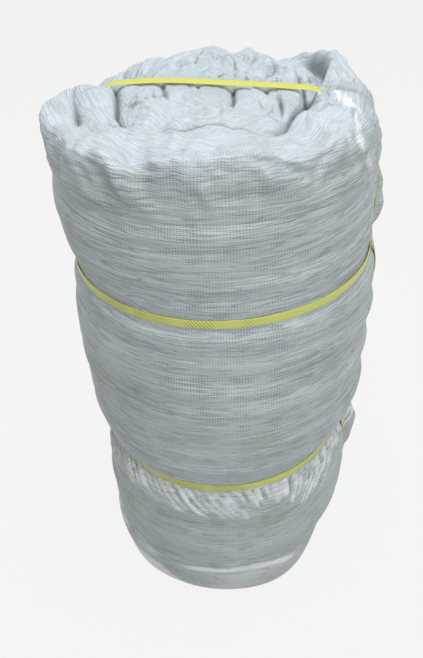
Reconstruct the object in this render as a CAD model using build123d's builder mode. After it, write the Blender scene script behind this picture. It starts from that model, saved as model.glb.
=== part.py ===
from build123d import *
import math
import os

# Insulation quilt rolled up and stood on one end, tied with plastic strapping.
# Millimetres. +Z runs up the axis of the roll, and the origin is the centre of the base.
# The lengthwise strap lies in the XZ plane, and the two hoops lie level.

# Strapping
strap_width = 15.0
strap_thickness = 0.8
strap_clearance = 0.3  # between a strap and what it lies on
lower_hoop_height = 328.0
lower_hoop_radius = 227.0  # inner face
lower_hoop_shift = 6.0  # of its centre from the axis, towards +X
hoop_spacing = 390.0  # from the lower hoop up to the middle one
middle_hoop_radius = 252.0  # inner face
middle_hoop_shift = 10.0

# Side of the roll, which bows a little towards +X, from the floor up
foot_radius = 236.0
foot_rounding = 32.0
lower_swells = (8.5, 16.0, 18.0, 13.0)  # below the lower hoop, past a straight run from the foot to it
lower_bows = (-0.5, 2.0, 2.5, 1.5)  # of those sections towards +X, past the same run
middle_swells = (14.0, 23.0, 25.5, 24.5, 16.5, 7.5)  # between the hoops
middle_bows = (1.0, 2.0, 2.0, 1.0, 1.0, 1.0)
upper_swells = (2.5, 2.5, 1.5)  # from the middle hoop up to the shoulder
upper_bows = (-1.0, -4.0, -4.0)
shoulder_radius = 263.0
shoulder_rounding = 47.0
rim_spacing = 230.0  # from the middle hoop up to the rim
crown_rise = 36.0  # of the middle of the top above the rim
corner_steps = 3  # facets round the foot and the rim

# Where each of those swells lies, as shares of the way up between its two ends
lower_swell_shares = (0.25, 0.5, 0.72, 0.88)
middle_swell_shares = (0.04, 0.14, 0.36, 0.6, 0.83, 0.95)
upper_swell_shares = (0.1, 0.3, 0.6)

# Points of the domed top, as shares of the crest's radius and of the rise above the rim
dome_width_shares = (1.0, 0.78, 0.42, 0.0)
dome_rise_shares = (0.0, 0.5, 1.0, 1.0)

# Turns of the quilt, which show as a spiral crease on both ends
turn_pitch = 45.0
turn_count = 3
crease_gap = 3.0  # width of a crease at its floor
crease_radius = 165.0  # of the outermost half turn
top_crease_depth = 24.0
top_crease_spread = 36.0  # width of a crease at its mouth
base_crease_depth = 10.0
base_crease_spread = 16.0
crease_bend_shares = (0.3, 0.62)  # a point on its flank, as shares of the flank's width and depth
eye_radius = 12.0  # bore left in the middle, as the quilt is wound without a core

# Fold of the outermost turn that hangs out over the rim towards -X
fold_reach = 13.0  # past the shoulder
fold_shift = 28.0  # of its centre from the axis, towards -X
fold_rounding = 32.0
fold_drop = 2.5  # of its top below the rim

# Collar, where the outermost turn stands up above the rim and leans inwards
collar_drop = 46.0  # of its foot below the rim
collar_rise = 48.0  # of its highest point above the rim
collar_lean = 27.0  # of its lip in from the shoulder
collar_thickness = 24.0
collar_lean_share = 0.68  # how far its outer face leans in by half its height
collar_angle = 34.0  # where its highest point is, from +X towards +Y
collar_slope = 46.0  # tilt of its top edge
collar_bevel = 8.0

# Lengthwise strap, which sinks into the roll
crown_sink = 3.0  # below the crown
fall_inset = 66.0  # of the place where it starts to fall towards the rim, in from the crest
fall_sink = 4.0  # below the top there
rim_inset = 30.0  # of the corner between its top run and side run, in from the shoulder
rim_sink = 18.0  # of that corner below the rim
crossing_sink = 0.5  # between it and a hoop that crosses it
crossing_run = 60.0  # length of its straight run under a hoop
base_inset = 26.0  # of the corner between its side run and base run, in from the foot
crown_bend = 400.0  # bend radii along it
fall_bend = 200.0
rim_bend = 60.0
hoop_bend = 150.0
base_bend = 42.0

# Furrow that the lengthwise strap presses into the roll
furrow_spread = 66.0  # width at its mouth
furrow_depth = 26.0
furrow_bend_shares = (0.36, 0.58)  # a point on its flank, as shares of the flank's width and depth

overrun = 40.0  # how far a cut reaches past the surface

middle_hoop_height = lower_hoop_height + hoop_spacing
rim_height = middle_hoop_height + rim_spacing
crown_height = rim_height + crown_rise
crest_radius = shoulder_radius - shoulder_rounding
shoulder_height = rim_height - shoulder_rounding
fold_radius = shoulder_radius + fold_reach - fold_shift
fall_radius = crest_radius - fall_inset
seat_half_width = strap_width / 2 + strap_clearance
lower_seat_radius = lower_hoop_radius - strap_clearance
middle_seat_radius = middle_hoop_radius - strap_clearance
lower_seat_low = lower_hoop_height - seat_half_width
lower_seat_high = lower_hoop_height + seat_half_width
middle_seat_low = middle_hoop_height - seat_half_width
middle_seat_high = middle_hoop_height + seat_half_width
dome = [
    (crest_radius * width_share, rim_height + crown_rise * rise_share)
    for width_share, rise_share in zip(dome_width_shares, dome_rise_shares)
]


def between(low, high, share):
    return low + (high - low) * share


def top_height(radius):
    # Height of the domed top at a distance from the axis.
    for (outer, low), (inner, high) in zip(dome, dome[1:]):
        if radius >= inner:
            return between(low, high, (outer - radius) / (outer - inner))


def corner(radius, height, rounding, start):
    # Points of a quarter round about a centre, from a start angle.
    angles = [math.radians(start + 90 * step / corner_steps) for step in range(corner_steps + 1)]
    return [(radius + rounding * math.cos(angle), height + rounding * math.sin(angle)) for angle in angles]


# Collar: a leaning wall turned about the axis, then cut by a tilted plane
collar_foot_height = rim_height - collar_drop
collar_height = rim_height + collar_rise
collar_lip_radius = shoulder_radius - collar_lean
lip_half_height = between(collar_foot_height, collar_height, 0.5)
lip_half_radius = between(collar_lip_radius, shoulder_radius, collar_lean_share)
collar_inner_radius = collar_lip_radius - collar_thickness
collar_direction = Vector(1, 0, 0).rotate(Axis.Z, collar_angle)
collar_peak = collar_direction * collar_lip_radius + Vector(0, 0, collar_height)
collar_tilt_axis = Axis((0, 0, 0), collar_direction.cross(Vector(0, 0, 1)))
collar_normal = Vector(0, 0, 1).rotate(collar_tilt_axis, collar_slope)

with BuildPart() as collar:
    with BuildSketch(Plane.XZ):
        with BuildLine():
            Polyline(
                (shoulder_radius, collar_foot_height),
                (lip_half_radius, lip_half_height),
                (collar_lip_radius, collar_height),
                (collar_inner_radius, collar_height),
                (collar_inner_radius, collar_foot_height),
                close=True,
            )
        make_face()
    revolve(axis=Axis.Z)
    split(bisect_by=Plane(collar_peak, z_dir=collar_normal), keep=Keep.BOTTOM)
    lip = collar.faces().filter_by(lambda side: abs(side.normal_at().dot(collar_normal)) > 0.999)
    chamfer(lip.edges().filter_by(lambda edge: edge.length > collar_thickness * 2), collar_bevel)

# Loop that the inner face of the lengthwise strap follows
strap_base = strap_thickness + strap_clearance
hoop_gap = crossing_sink + strap_thickness
side_bends = [fall_bend, rim_bend, hoop_bend, hoop_bend, hoop_bend, hoop_bend, base_bend]


def side_run(side):
    # Corners of that loop from the top down to the base, on one side of the axis.
    middle_reach = side * (middle_hoop_radius - hoop_gap) + middle_hoop_shift
    lower_reach = side * (lower_hoop_radius - hoop_gap) + lower_hoop_shift
    return [
        (side * fall_radius, top_height(fall_radius) - fall_sink),
        (side * (shoulder_radius - rim_inset), rim_height - rim_sink),
        (middle_reach, middle_hoop_height + crossing_run / 2),
        (middle_reach, middle_hoop_height - crossing_run / 2),
        (lower_reach, lower_hoop_height + crossing_run / 2),
        (lower_reach, lower_hoop_height - crossing_run / 2),
        (side * (foot_radius - base_inset), strap_base),
    ]


with BuildLine(Plane.XZ) as strap_path:
    FilletPolyline(
        (0, crown_height - crown_sink),
        *side_run(1),
        *reversed(side_run(-1)),
        radius=[crown_bend, *side_bends, *reversed(side_bends)],
        close=True,
    )
strap_wire = strap_path.wires()[0]

strap_start = Plane(strap_wire @ 0, x_dir=(0, 1, 0), z_dir=strap_wire % 0)

# Lengthwise strap: a flat band swept round that loop
with BuildPart() as strap_lengthwise:
    with BuildSketch(strap_start):
        Rectangle(strap_width, strap_thickness, align=(Align.CENTER, Align.MIN))
    sweep(path=strap_wire)

# Hoops: flat bands turned about their own centres
with BuildPart() as strap_middle:
    with BuildSketch(Plane.XZ):
        with Locations((middle_hoop_shift + middle_hoop_radius + strap_thickness / 2, middle_hoop_height)):
            Rectangle(strap_thickness, strap_width)
    revolve(axis=Axis((middle_hoop_shift, 0, 0), (0, 0, 1)))

with BuildPart() as strap_lower:
    with BuildSketch(Plane.XZ):
        with Locations((lower_hoop_shift + lower_hoop_radius + strap_thickness / 2, lower_hoop_height)):
            Rectangle(strap_thickness, strap_width)
    revolve(axis=Axis((lower_hoop_shift, 0, 0), (0, 0, 1)))


def groove(floor, mouth, depth, bend_shares):
    # Section of a groove with its floor at the origin and two flanks that are steeper towards the floor.
    bend_width, bend_depth = bend_shares
    flank = [
        (floor, 0),
        (between(floor, mouth, bend_width), depth * bend_depth),
        (mouth, depth),
        (mouth, depth + overrun),
    ]
    with BuildSketch() as section:
        with BuildLine():
            Polyline(*flank, *[(-x, y) for x, y in reversed(flank)], close=True)
        make_face()
    return section.sketch


# Ends of the three runs of the side, each as a height, a radius and a shift
foot_end = (foot_rounding, foot_radius, 0)
lower_seat_low_end = (lower_seat_low, lower_seat_radius, lower_hoop_shift)
lower_seat_high_end = (lower_seat_high, lower_seat_radius, lower_hoop_shift)
middle_seat_low_end = (middle_seat_low, middle_seat_radius, middle_hoop_shift)
middle_seat_high_end = (middle_seat_high, middle_seat_radius, middle_hoop_shift)
shoulder_end = (shoulder_height, shoulder_radius, 0)


def swelling_run(low_end, high_end, shares, swells, bows):
    # Sections of a run, which swells and bows past the straight way between its ends.
    sections = [low_end]
    for share, swell, bow in zip(shares, swells, bows):
        height, radius, shift = [between(low, high, share) for low, high in zip(low_end, high_end)]
        sections.append((height, radius + swell, shift + bow))
    return [*sections, high_end]


side_sections = [
    swelling_run(foot_end, lower_seat_low_end, lower_swell_shares, lower_swells, lower_bows),
    swelling_run(lower_seat_high_end, middle_seat_low_end, middle_swell_shares, middle_swells, middle_bows),
    swelling_run(middle_seat_high_end, shoulder_end, upper_swell_shares, upper_swells, upper_bows),
]

with BuildPart() as roll:
    # Rounded foot
    with BuildSketch(Plane.XZ):
        with BuildLine():
            foot = corner(foot_radius - foot_rounding, foot_rounding, foot_rounding, -90)
            Polyline(*foot, (0, foot_rounding), (0, 0), close=True)
        make_face()
    revolve(axis=Axis.Z)

    # Side, as three swells with a hoop's seat between each two
    for sections in side_sections:
        for height, radius, shift in sections:
            with BuildSketch(Plane.XY.offset(height)):
                with Locations((shift, 0)):
                    Circle(radius)
        loft(ruled=True)
    for height, radius, shift in (lower_seat_low_end, middle_seat_low_end):
        with BuildSketch(Plane.XY.offset(height)):
            with Locations((shift, 0)):
                Circle(radius)
        extrude(amount=seat_half_width * 2)

    # Rim and domed top
    with BuildSketch(Plane.XZ):
        with BuildLine():
            rim = corner(crest_radius, shoulder_height, shoulder_rounding, 0)
            Polyline(*rim, *dome[1:], (0, shoulder_height), close=True)
        make_face()
    revolve(axis=Axis.Z)

    # Fold that hangs out over the rim, as a ring off the axis that comes out of the roll on one side
    fold_height = rim_height - fold_drop - fold_rounding
    with BuildSketch(Plane.XZ):
        with Locations((fold_radius - fold_rounding - fold_shift, fold_height)):
            RegularPolygon(fold_rounding, 4 * corner_steps)
    revolve(axis=Axis((-fold_shift, 0, 0), (0, 0, 1)))

    # Spiral crease on each end, as half turns about two centres
    top_crease = groove(crease_gap / 2, top_crease_spread / 2, top_crease_depth, crease_bend_shares)
    base_crease = groove(crease_gap / 2, base_crease_spread / 2, base_crease_depth, crease_bend_shares)
    for half_turn in range(2 * turn_count):
        side = 1 if half_turn % 2 == 0 else -1
        centre = side * turn_pitch / 4
        radius = crease_radius - half_turn * turn_pitch / 2
        reach = centre + side * radius
        spin = Axis((centre, 0, 0), (0, 0, 1))
        top_floor = top_height(radius) - top_crease_depth
        top_plane = Plane((reach, 0, top_floor), x_dir=(1, 0, 0), z_dir=(0, -1, 0))
        base_plane = Plane((reach, 0, base_crease_depth), x_dir=(-1, 0, 0), z_dir=(0, -1, 0))
        for plane, section in ((top_plane, top_crease), (base_plane, base_crease)):
            with BuildSketch(plane):
                add(section)
            revolve(axis=spin, revolution_arc=180, mode=Mode.SUBTRACT)

    add(collar.part)

    # Furrow under the lengthwise strap
    with BuildSketch(strap_start):
        with Locations((0, -strap_clearance)):
            add(groove(seat_half_width, furrow_spread / 2, furrow_depth, furrow_bend_shares))
    sweep(path=strap_wire, mode=Mode.SUBTRACT)
    Hole(eye_radius)

roll.part.label = "roll"
strap_middle.part.label = "strap_middle"
strap_lower.part.label = "strap_lower"
strap_lengthwise.part.label = "strap_lengthwise"

os.makedirs("parts", exist_ok=True)
export_step(roll.part, "parts/roll.step")
export_step(strap_middle.part, "parts/strap_middle.step")
export_step(strap_lower.part, "parts/strap_lower.step")
export_step(strap_lengthwise.part, "parts/strap_lengthwise.step")
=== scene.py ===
import math
import bpy
import numpy as np
from mathutils import Matrix, Vector


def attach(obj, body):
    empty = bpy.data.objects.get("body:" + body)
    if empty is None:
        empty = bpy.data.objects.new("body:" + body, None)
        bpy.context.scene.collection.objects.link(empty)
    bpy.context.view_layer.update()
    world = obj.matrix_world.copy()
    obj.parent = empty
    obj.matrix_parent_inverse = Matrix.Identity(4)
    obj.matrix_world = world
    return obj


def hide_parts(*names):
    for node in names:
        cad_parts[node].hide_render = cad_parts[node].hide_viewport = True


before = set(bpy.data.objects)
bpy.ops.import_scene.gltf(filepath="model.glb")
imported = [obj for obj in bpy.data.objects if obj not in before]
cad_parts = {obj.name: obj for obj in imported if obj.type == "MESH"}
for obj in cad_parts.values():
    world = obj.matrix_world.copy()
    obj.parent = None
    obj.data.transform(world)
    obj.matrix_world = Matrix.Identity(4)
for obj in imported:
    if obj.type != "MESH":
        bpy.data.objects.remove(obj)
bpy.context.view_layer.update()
scene = bpy.context.scene
scene.view_settings.view_transform = "Standard"
print("frame loaded")


def ease(low, high, x):  # 0 below low, 1 above high, smooth between
    t = np.clip((x - low) / (high - low), 0.0, 1.0)
    return t * t * (3.0 - 2.0 * t)


def bell(x, centre, width):  # e to the minus square of the distance in widths
    return np.exp(-(((x - centre) / width) ** 2))


def turnFrom(theta, centre):  # signed angle from a direction, minus pi to pi
    return (theta - centre + math.pi) % (2.0 * math.pi) - math.pi


def around(theta, way, spread):  # bell of the turn from a direction in degrees
    return bell(turnFrom(theta, math.radians(way)), 0.0, spread)


def curveThrough(knots, values, where):
    # cubic through the values at the knots, with the mean slope of the two neighbours at each knot
    knots, values, where = (np.asarray(a, float) for a in (knots, values, where))
    slopes = np.gradient(values, knots)
    k = np.clip(np.searchsorted(knots, where) - 1, 0, len(knots) - 2)
    step = knots[k + 1] - knots[k]
    t = np.clip((where - knots[k]) / step, 0.0, 1.0)
    a, b = values[k], values[k + 1]
    return (
        a * (1 + 2 * t) * (1 - t) ** 2 + b * t * t * (3 - 2 * t)
        + step * (slopes[k] * t * (1 - t) ** 2 - slopes[k + 1] * t * t * (1 - t))
    )


def roundCurve(degrees, values, theta):  # the same cubic, closed round the axis
    ring = np.concatenate([np.asarray(degrees, float) - 360.0, degrees, np.asarray(degrees, float) + 360.0])
    return curveThrough(ring, np.tile(values, 3), np.degrees(turnFrom(theta, 0.0)))


def bandNoise(seed, shape, size, waves, spread=0.45):
    # white noise with one ellipse of wavelengths kept, for the grain of those waves, and a spread of 1
    white = np.random.default_rng(seed).standard_normal(shape)
    pace = [np.fft.fftfreq(n, length / n) * wave for n, length, wave in zip(shape, size, waves)]
    reach = np.maximum(np.hypot(pace[0][:, None], pace[1][None, :]), 1e-9)
    kept = np.fft.ifft2(np.fft.fft2(white) * np.exp(-((np.log(reach) / spread) ** 2))).real
    return kept / kept.std()


def waveNoise(seed, x, y, wave, count=36):
    # sum of plane waves that run every way, of lengths near the one asked for
    rng = np.random.default_rng(seed)
    total = np.zeros(np.broadcast(x, y).shape)
    for way, length, phase in zip(
        rng.uniform(0, math.tau, count), wave * rng.uniform(0.7, 1.5, count),
        rng.uniform(0, math.tau, count),
    ):
        total += np.cos((x * math.cos(way) + y * math.sin(way)) * math.tau / length + phase)
    return total / math.sqrt(count / 2)


def facetNoise(seed, x, y, wave, count=6):
    # sum of folds with straight flanks that run every way, bent a little, as in a crumpled sheet
    rng = np.random.default_rng(seed)
    bentX = x + 0.16 * wave * waveNoise(seed + 50, x, y, 2.2 * wave, 12)
    bentY = y + 0.16 * wave * waveNoise(seed + 51, x, y, 2.2 * wave, 12)
    total = np.zeros(np.broadcast(x, y).shape)
    for way, length, phase in zip(
        rng.uniform(0, math.tau, count), wave * rng.uniform(0.7, 1.6, count), rng.uniform(0, 1, count),
    ):
        total += 4 * np.abs(
            ((bentX * math.cos(way) + bentY * math.sin(way)) / length + phase) % 1.0 - 0.5
        ) - 1
    return total / math.sqrt(count / 3)


def smoothRound(values, waves):
    # the slowest waves round the axis kept, so that the weave runs level over the folds
    spectrum = np.fft.rfft(values, axis=1)
    spectrum[:, waves + 1:] = 0
    return np.fft.irfft(spectrum, values.shape[1], axis=1)


def putMesh(name, verts, corners, totals, marks, uvs):
    # smooth mesh of the points and corners, with its marks and its place on the cloth
    mesh = bpy.data.meshes.new(name)
    mesh.vertices.add(len(verts))
    mesh.vertices.foreach_set("co", verts.astype(np.float32).ravel())
    mesh.loops.add(len(corners))
    mesh.loops.foreach_set("vertex_index", corners.astype(np.int32))
    mesh.polygons.add(len(totals))
    mesh.polygons.foreach_set("loop_start", np.concatenate([[0], np.cumsum(totals)[:-1]]).astype(np.int32))
    mesh.update(calc_edges=True)
    mesh.polygons.foreach_set("use_smooth", np.ones(len(totals), bool))
    for label, value in marks.items():  # one number a point, for the material
        mesh.attributes.new(label, "FLOAT", "POINT").data.foreach_set("value", value.astype(np.float32))
    mesh.uv_layers.new(name="cloth").data.foreach_set("uv", uvs.astype(np.float32).ravel())
    piece = bpy.data.objects.new(name, mesh)
    scene.collection.objects.link(piece)
    return piece


def roundSurface(name, points, marks, along, girth):
    # rows of points that go round the axis, with the first and last row drawn to a pole
    rows, cols = points.shape[:2]
    verts = np.concatenate([points[0].mean(0)[None], points.reshape(-1, 3), points[-1].mean(0)[None]])
    ring = 1 + np.arange(rows * cols).reshape(rows, cols)
    a, b = ring[:-1], ring[1:]
    quads = np.stack([a, np.roll(a, -1, 1), np.roll(b, -1, 1), b], -1).reshape(-1, 4)
    low = np.stack([np.zeros(cols, int), np.roll(ring[0], -1), ring[0]], -1)
    high = np.stack([np.full(cols, len(verts) - 1), ring[-1], np.roll(ring[-1], -1)], -1)
    corners = np.concatenate([quads.ravel(), low.ravel(), high.ravel()])
    totals = np.concatenate([np.full(len(quads), 4), np.full(2 * cols, 3)])
    poles = {
        label: np.concatenate([[value[0].mean()], value.ravel(), [value[-1].mean()]])
        for label, value in marks.items()
    }
    step = np.arange(cols)
    u = np.concatenate([
        np.tile(np.stack([step, step + 1, step + 1, step], -1), (rows - 1, 1)).ravel(),
        np.stack([step, step + 1, step], -1).ravel(), np.stack([step, step, step + 1], -1).ravel(),
    ]) * girth / cols
    v = np.concatenate([[along[0].mean()], along.ravel(), [along[-1].mean()]])[corners]
    return putMesh(name, verts, corners, totals, poles, np.stack([u, v], -1))


cameraSet = {
    "place": (0.150, -1.067, 1.320), "heading": 8.84, "down": 36.92, "roll": -2.71,
    "lens": 38.3, "sensor": 36.0,
}
cameraData = bpy.data.cameras.new("photoCamera")
cameraData.lens, cameraData.sensor_width = cameraSet["lens"], cameraSet["sensor"]
camera = bpy.data.objects.new("photoCamera", cameraData)
camera.matrix_world = (
    Matrix.Translation(cameraSet["place"])
    @ Matrix.Rotation(math.radians(cameraSet["heading"]), 4, "Z")
    @ Matrix.Rotation(math.radians(90.0 - cameraSet["down"]), 4, "X")
    @ Matrix.Rotation(math.radians(cameraSet["roll"]), 4, "Z")
)
scene.collection.objects.link(camera)
scene.camera = camera
print("camera placed")


strapSet = {
    "width": 0.015, "thickness": 0.0011, "lower": 0.325, "middle": 0.715,
    "lift": 0.0009,  # of a strap off the cloth
    "seat": 0.0085, "seatEdge": 0.016,  # half the flat bed under it, and where the cloth is loose again
}

# radii of the quilt's side by height, as seen at its left and right edge
sideForm = {
    "heights": (0.030, 0.060, 0.093, 0.145, 0.196, 0.248, 0.300, 0.328, 0.350, 0.392, 0.475, 0.558, 0.640,
        0.703, 0.740, 0.780, 0.827, 0.889),
    "left": (0.236, 0.238, 0.239, 0.241, 0.242, 0.239, 0.233, 0.230, 0.238, 0.246, 0.251, 0.257, 0.254,
        0.246, 0.247, 0.254, 0.260, 0.257),
    "right": (0.231, 0.233, 0.237, 0.249, 0.254, 0.254, 0.246, 0.242, 0.252, 0.264, 0.270, 0.275, 0.275,
        0.269, 0.264, 0.260, 0.259, 0.264),
    "rightWay": -6.0,
    "lipHeights": (0.00, 0.10, 0.16, 0.22, 0.26, 0.31, 0.345, 0.375, 0.41, 0.48, 0.60, 0.69, 0.718, 0.75,
        0.80, 0.86, 0.90, 0.95),
    "lip": (0.000, 0.000, 0.008, 0.021, 0.031, 0.018, 0.014, 0.014, 0.009, 0.002, 0.004, 0.006, 0.006,
        0.023, 0.022, 0.008, 0.004, 0.003),
    "lipWay": 10.0, "lipSpread": 0.16,
    "rimBulge": 0.016, "bulgeWay": -172.0, "bulgeSpread": 0.42, "bulgeHeight": 0.944, "bulgeRise": 0.027,
    "slackWays": (-128.0, -95.0, -62.0, -26.0), "slackPulls": (0.000, 0.004, 0.006, 0.011),
    "slackSpread": 0.36, "slackHeight": 0.366, "slackRise": 0.034,
    "front": 0.008, "shelf": 0.009, "shelfHeight": 0.284, "shelfRise": 0.022,
    "footWays": (-124.0, -90.0, -60.0, -20.0), "footPushes": (0.006, 0.004, 0.009, -0.013),
    "footSpread": 0.34, "footFade": (0.050, 0.110),
}


hemForm = {
    "ways": (-180.0, -140.0, -114.0, -90.0, -69.0, -52.0, -36.0, 0.0, 60.0, 120.0),
    "heights": (0.082, 0.088, 0.092, 0.096, 0.098, 0.082, 0.056, 0.062, 0.088, 0.078),
    "stand": 0.005, "edge": (-0.007, 0.002), "fade": (0.03, 0.06),
}


def hemHeight(theta):  # curve through the hem's heights round the foot
    return roundCurve(hemForm["ways"], hemForm["heights"], theta)


def sideRadius(theta, z):
    # mean of the left and right radius, plus half their difference times the cosine of the turn from the
    # right, plus the right lip and the left rim's bulge, less the slack above the lower hoop, plus the full
    # front, the shelf below the hoop, the pushes of the foot and the hem's ledge
    left = curveThrough(sideForm["heights"], sideForm["left"], z)
    right = curveThrough(sideForm["heights"], sideForm["right"], z)
    radius = (left + right) / 2 + (right - left) / 2 * np.cos(theta - math.radians(sideForm["rightWay"]))
    lip = curveThrough(sideForm["lipHeights"], sideForm["lip"], z)
    radius = radius + lip * around(theta, sideForm["lipWay"], sideForm["lipSpread"])
    bulge = sideForm["rimBulge"] * around(theta, sideForm["bulgeWay"], sideForm["bulgeSpread"])
    radius = radius + bulge * bell(z, sideForm["bulgeHeight"], sideForm["bulgeRise"])
    slack = sum(
        pull * around(theta, way, sideForm["slackSpread"])
        for way, pull in zip(sideForm["slackWays"], sideForm["slackPulls"])
    )
    radius = radius - slack * bell(z, sideForm["slackHeight"], sideForm["slackRise"])
    faces = np.sin(theta) ** 2
    radius = radius + sideForm["front"] * faces * (np.sin(theta) < 0)  # deeper in front than it is wide
    radius = radius + sideForm["shelf"] * faces * bell(z, sideForm["shelfHeight"], sideForm["shelfRise"])
    front = sum(
        push * around(theta, way, sideForm["footSpread"])
        for way, push in zip(sideForm["footWays"], sideForm["footPushes"])
    )
    ledge = 1 - ease(*hemForm["edge"], z - hemHeight(theta))  # the hem's fold stands out like a ledge
    radius = radius + front * (1 - ease(*sideForm["footFade"], z))
    return radius + hemForm["stand"] * ledge * ease(*hemForm["fade"], z)


topForm = {
    "shoulder": 0.884, "crown": 0.981, "domeReach": 0.216,
    "sag": 0.011, "sagWay": 151.0, "sagSpread": 0.17, "sagReach": (0.198, 0.214),
    "knoll": 0.006, "knollWay": 86.0, "knollSpread": 0.10, "knollReach": (0.15, 0.20),
    "lipHeight": 0.991, "lipFall": 0.22, "lipEdge": -0.186, "lipShare": 0.9,
    "crestWays": (-180, -165, -150, -139, -128, -113, -100, -87, -74, -58, -42, -30, -10, 0, 10, 20, 35, 50,
        62, 80, 100, 120, 135, 150, 165),
    "crestRadii": (0.247, 0.247, 0.242, 0.240, 0.248, 0.252, 0.252, 0.253, 0.253, 0.251, 0.247, 0.238,
        0.222, 0.214, 0.218, 0.225, 0.236, 0.238, 0.228, 0.215, 0.213, 0.214, 0.222, 0.234, 0.246),
    "rimWays": (-180, -168, -150, -120, -110, -101, -92, -83, -74, -65, -55, -47, -30, -12, 0, 30, 60, 80,
        100, 120, 135, 150, 168),
    "rimHeights": (0.944, 0.956, 0.959, 0.958, 0.954, 0.957, 0.963, 0.967, 0.969, 0.961, 0.953, 0.952,
        0.956, 0.957, 0.954, 0.953, 0.958, 0.963, 0.966, 0.965, 0.961, 0.952, 0.937),
    "earWays": (-26, -16, -8, 0, 6, 14, 22, 31, 37, 44, 50, 58, 70),
    "earRises": (0.000, 0.008, 0.012, 0.013, 0.014, 0.019, 0.026, 0.031, 0.031, 0.026, 0.016, 0.004, 0.000),
    "earEdge": (
        (0.140, -0.080), (0.162, -0.040), (0.168, -0.010), (0.168, 0.010), (0.174, 0.064), (0.183, 0.113),
        (0.174, 0.146), (0.150, 0.172), (0.112, 0.198),
    ),
    "earWall": (-0.007, 0.003), "earGroove": 0.014,
}

# facets of the crumpled top, as seed, wave, height and added height at the back
crumpleForm = ((3, 0.085, 0.0032, 0.0014), (4, 0.036, 0.0015, 0.0009), (5, 0.015, 0.0005, 0.0004))

# creases of the top, each as width, depth, lift and points, with x, y and strength of each point
topCreases = (
    (0.006, 0.02, -0.004, ((-0.164, 0.035, 0.8), (-0.14, -0.03, 1.0), (-0.125, -0.098, 1.0),
        (-0.111, -0.123, 0.8), (-0.092, -0.141, 0.4), (-0.06, -0.151, 0.0))),
    (0.008, 0.017, 0.005, ((-0.222, 0.048, 0.1), (-0.211, 0.001, 0.1), (-0.202, -0.052, 0.4),
        (-0.19, -0.08, 1.0), (-0.18, -0.108, 0.8), (-0.172, -0.13, 0.0))),
    (0.005, 0.006, 0.0, ((-0.184, 0.057, 0.6), (-0.192, -0.002, 0.0))),
    (0.007, 0.024, -0.005, ((0.146, 0.004, 1.0), (0.146, -0.032, 1.2), (0.135, -0.073, 0.9),
        (0.119, -0.117, 0.7), (0.095, -0.162, 0.0))),
    (0.006, 0.014, 0.004, ((0.104, -0.015, 0.5), (0.111, -0.062, 1.0), (0.115, -0.106, 0.2))),
    (0.009, 0.022, -0.006, ((0.071, 0.025, 1.0), (0.08, 0.072, 0.9), (0.099, 0.135, 0.7),
        (0.127, 0.104, 0.8), (0.141, 0.045, 1.0), (0.146, 0.004, 1.0))),
    (0.007, 0.014, 0.003, ((0.035, 0.005, 0.9), (0.042, -0.06, 0.8), (0.038, -0.092, 0.1))),
    (0.006, 0.012, 0.0, ((0.084, 0.0, 1.0), (0.09, -0.034, 0.2))),
    (0.006, 0.012, 0.004, ((-0.036, 0.21, 0.15), (-0.047, 0.138, 1.0), (-0.06, 0.062, 0.5),
        (-0.062, 0.03, 0.0))),
    (0.008, 0.016, 0.004, ((-0.05, 0.112, 0.3), (-0.08, 0.103, 1.0), (-0.106, 0.078, 1.0),
        (-0.104, 0.045, 0.5))),
    (0.007, 0.014, 0.0, ((-0.168, 0.15, 0.5), (-0.17, 0.112, 1.0), (-0.158, 0.06, 0.4))),
    (0.008, 0.01, 0.003, ((-0.003, 0.196, 0.1), (-0.006, 0.16, 0.8), (-0.01, 0.12, 0.3))),
    (0.006, 0.009, 0.0, ((0.06, 0.2, 0.1), (0.056, 0.165, 0.9), (0.05, 0.13, 0.2))),
    (0.006, 0.01, 0.0, ((0.142, 0.083, 1.0), (0.128, 0.112, 0.4))),
    (0.006, 0.01, 0.0, ((-0.02, 0.003, 0.8), (-0.012, -0.035, 0.0))),
    (0.006, 0.009, 0.002, ((-0.075, 0.006, 0.7), (-0.062, -0.045, 0.9), (-0.052, -0.072, 0.0))),
    (0.004, 0.003, 0.0015, ((-0.075, -0.15, 0.0), (-0.031, -0.154, 0.7), (0.008, -0.156, 0.8),
        (0.057, -0.158, 0.7), (0.1, -0.165, 0.2))),
)


def toLine(x, y, line):
    # distance from a bent line, the side of it, and the strength at the nearest point
    near = np.full(np.broadcast(x, y).shape, 9.0)
    side, strength = np.zeros(near.shape), np.zeros(near.shape)
    for start, end in zip(line[:-1], line[1:]):
        dx, dy = end[0] - start[0], end[1] - start[1]
        t = np.clip(((x - start[0]) * dx + (y - start[1]) * dy) / (dx * dx + dy * dy), 0.0, 1.0)
        gapX, gapY = x - start[0] - t * dx, y - start[1] - t * dy
        gap = np.hypot(gapX, gapY)
        closer = gap < near
        near = np.where(closer, gap, near)
        side = np.where(closer, np.sign(dx * gapY - dy * gapX), side)
        if len(start) > 2:
            strength = np.where(closer, start[2] + (end[2] - start[2]) * t, strength)
    return near, side, strength


strapTop = {
    "x": (-0.200, -0.186, -0.174, -0.164, -0.132, -0.092, -0.046, 0.002, 0.046, 0.091, 0.136, 0.152, 0.164,
        0.176, 0.200),
    "z": (0.936, 0.951, 0.966, 0.974, 0.979, 0.982, 0.982, 0.980, 0.978, 0.976, 0.973, 0.9725, 0.970, 0.960,
        0.933),
    "end": 0.2, "tilt": 0.22, "tiltFrom": (0.955, 0.972),
    "inner": (0.160, 0.178), "bed": 0.004, "gap": 0.0015,  # how far below it the turns and the cloth lie
}


wrinkleForm = {
    "seed": 7, "count": 70, "ways": (-0.9, 4.0), "reach": 0.19, "turn": (0.9, 0.7), "bend": (0.0, 0.5),
    "lengths": (0.030, 0.075), "depths": (0.0030, 0.0070), "widths": (0.0025, 0.0045),
}


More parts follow.
